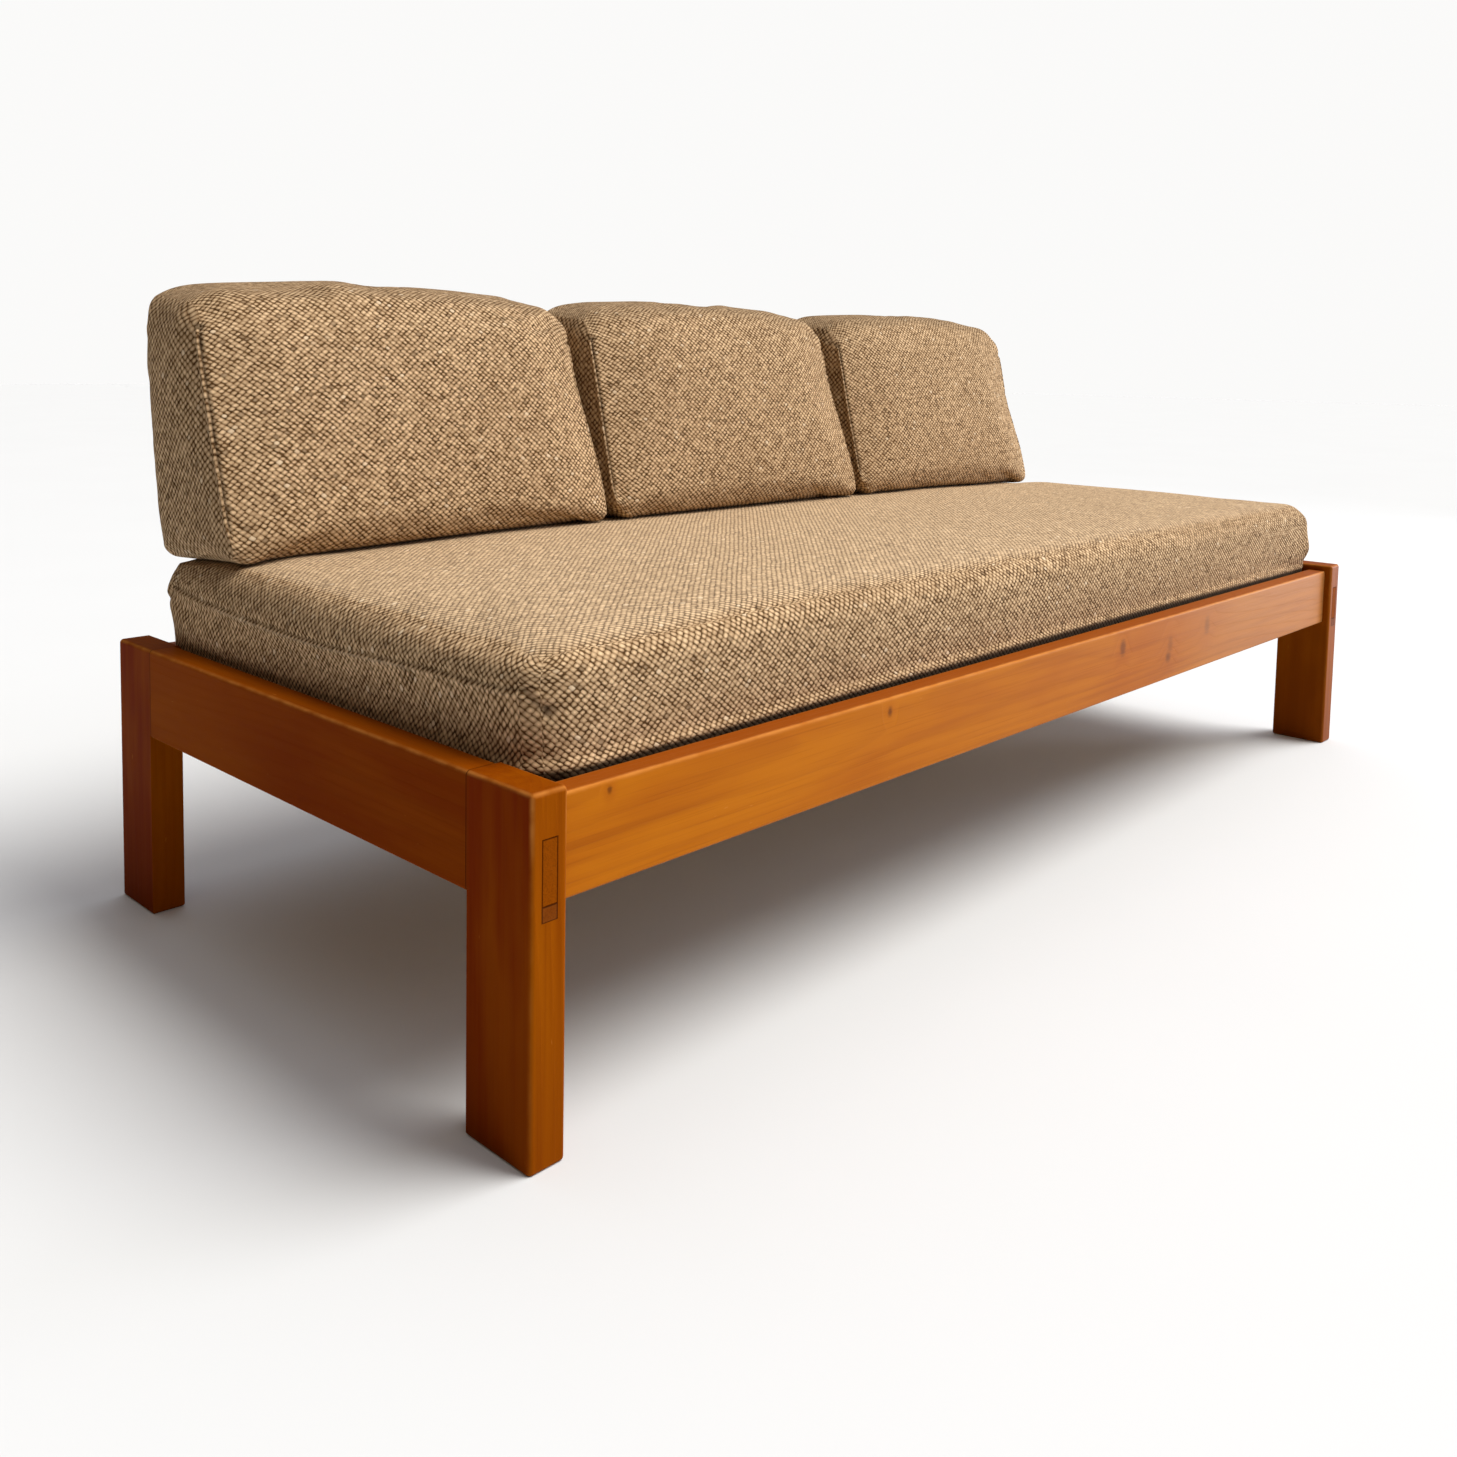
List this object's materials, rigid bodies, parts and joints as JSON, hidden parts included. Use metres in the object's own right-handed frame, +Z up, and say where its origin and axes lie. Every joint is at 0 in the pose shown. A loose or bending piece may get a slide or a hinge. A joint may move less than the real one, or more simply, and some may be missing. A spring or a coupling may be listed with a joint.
{
  "type": "daybed",
  "caption": "Low wooden daybed with plank legs and wedged through tenons, a thick tweed mattress on slats and loose wedge cushions along the back.",
  "frame": {"origin": "on the floor, midway between the legs", "axes": "+X along the bed to the sitter's left, +Y from the front to the back, +Z up"},
  "size_m": [2, 0.83, 0.8131],
  "materials": {
    "frame_wood": "satin",
    "slat_wood": "matte",
    "fitting_steel": "satin",
    "tweed": "matte",
    "foam": "matte",
    "zip_tape": "matte",
    "zip_metal": "satin"
  },
  "bodies": {
    "frame": {"catch_plate_back_left": "fitting_steel", "catch_plate_back_right": "fitting_steel", "catch_plate_front_left": "fitting_steel", "catch_plate_front_right": "fitting_steel", "catch_plate_screws": "fitting_steel", "end_rail_left": "frame_wood", "end_rail_right": "frame_wood", "hook_plate_back_left": "fitting_steel", "hook_plate_back_right": "fitting_steel", "hook_plate_front_left": "fitting_steel", "hook_plate_front_right": "fitting_steel", "hook_plate_screws": "fitting_steel", "ledger_screws": "fitting_steel", "leg_back_left": "frame_wood", "leg_back_right": "frame_wood", "leg_front_left": "frame_wood", "leg_front_right": "frame_wood", "side_rail_back": "frame_wood", "side_rail_front": "frame_wood", "slat_01": "slat_wood", "slat_02": "slat_wood", "slat_03": "slat_wood", "slat_04": "slat_wood", "slat_05": "slat_wood", "slat_06": "slat_wood", "slat_07": "slat_wood", "slat_08": "slat_wood", "slat_09": "slat_wood", "slat_10": "slat_wood", "slat_11": "slat_wood", "slat_12": "slat_wood", "slat_13": "slat_wood", "slat_14": "slat_wood", "slat_ledger_back": "slat_wood", "slat_ledger_front": "slat_wood", "slat_screws": "fitting_steel", "tenon_wedge_back_left": "frame_wood", "tenon_wedge_back_right": "frame_wood", "tenon_wedge_front_left": "frame_wood", "tenon_wedge_front_right": "frame_wood"},
    "mattress": {"mattress_cover": "tweed", "mattress_foam": "foam", "mattress_zip": "zip_tape"},
    "mattress_zip_slider": {"mattress_zip_slider": "zip_metal"},
    "cushion_left": {"cushion_left_cover": "tweed", "cushion_left_foam": "foam", "cushion_left_zip": "zip_tape"},
    "cushion_left_zip_slider": {"cushion_left_zip_slider": "zip_metal"},
    "cushion_middle": {"cushion_middle_cover": "tweed", "cushion_middle_foam": "foam", "cushion_middle_zip": "zip_tape"},
    "cushion_middle_zip_slider": {"cushion_middle_zip_slider": "zip_metal"},
    "cushion_right": {"cushion_right_cover": "tweed", "cushion_right_foam": "foam", "cushion_right_zip": "zip_tape"},
    "cushion_right_zip_slider": {"cushion_right_zip_slider": "zip_metal"}
  },
  "joints": [
    {"name": "mattress_lift", "type": "slide", "parent": "frame", "child": "mattress", "axis": [0, 0, 1], "range_m": [0, 0.2]},
    {"name": "cushion_left_lift", "type": "slide", "parent": "mattress", "child": "cushion_left", "axis": [0, 0, 1], "range_m": [0, 0.4]},
    {"name": "cushion_middle_lift", "type": "slide", "parent": "mattress", "child": "cushion_middle", "axis": [0, 0, 1], "range_m": [0, 0.4]},
    {"name": "cushion_right_lift", "type": "slide", "parent": "mattress", "child": "cushion_right", "axis": [0, 0, 1], "range_m": [0, 0.4]},
    {"name": "mattress_zip_slide", "type": "slide", "parent": "mattress", "child": "mattress_zip_slider", "axis": [1, 0, 0], "range_m": [0, 1.788]},
    {"name": "cushion_left_zip_slide", "type": "slide", "parent": "cushion_left", "child": "cushion_left_zip_slider", "axis": [1, 0, 0], "range_m": [0, 0.528]},
    {"name": "cushion_middle_zip_slide", "type": "slide", "parent": "cushion_middle", "child": "cushion_middle_zip_slider", "axis": [1, 0, 0], "range_m": [0, 0.528]},
    {"name": "cushion_right_zip_slide", "type": "slide", "parent": "cushion_right", "child": "cushion_right_zip_slider", "axis": [1, 0, 0], "range_m": [0, 0.528]}
  ]
}
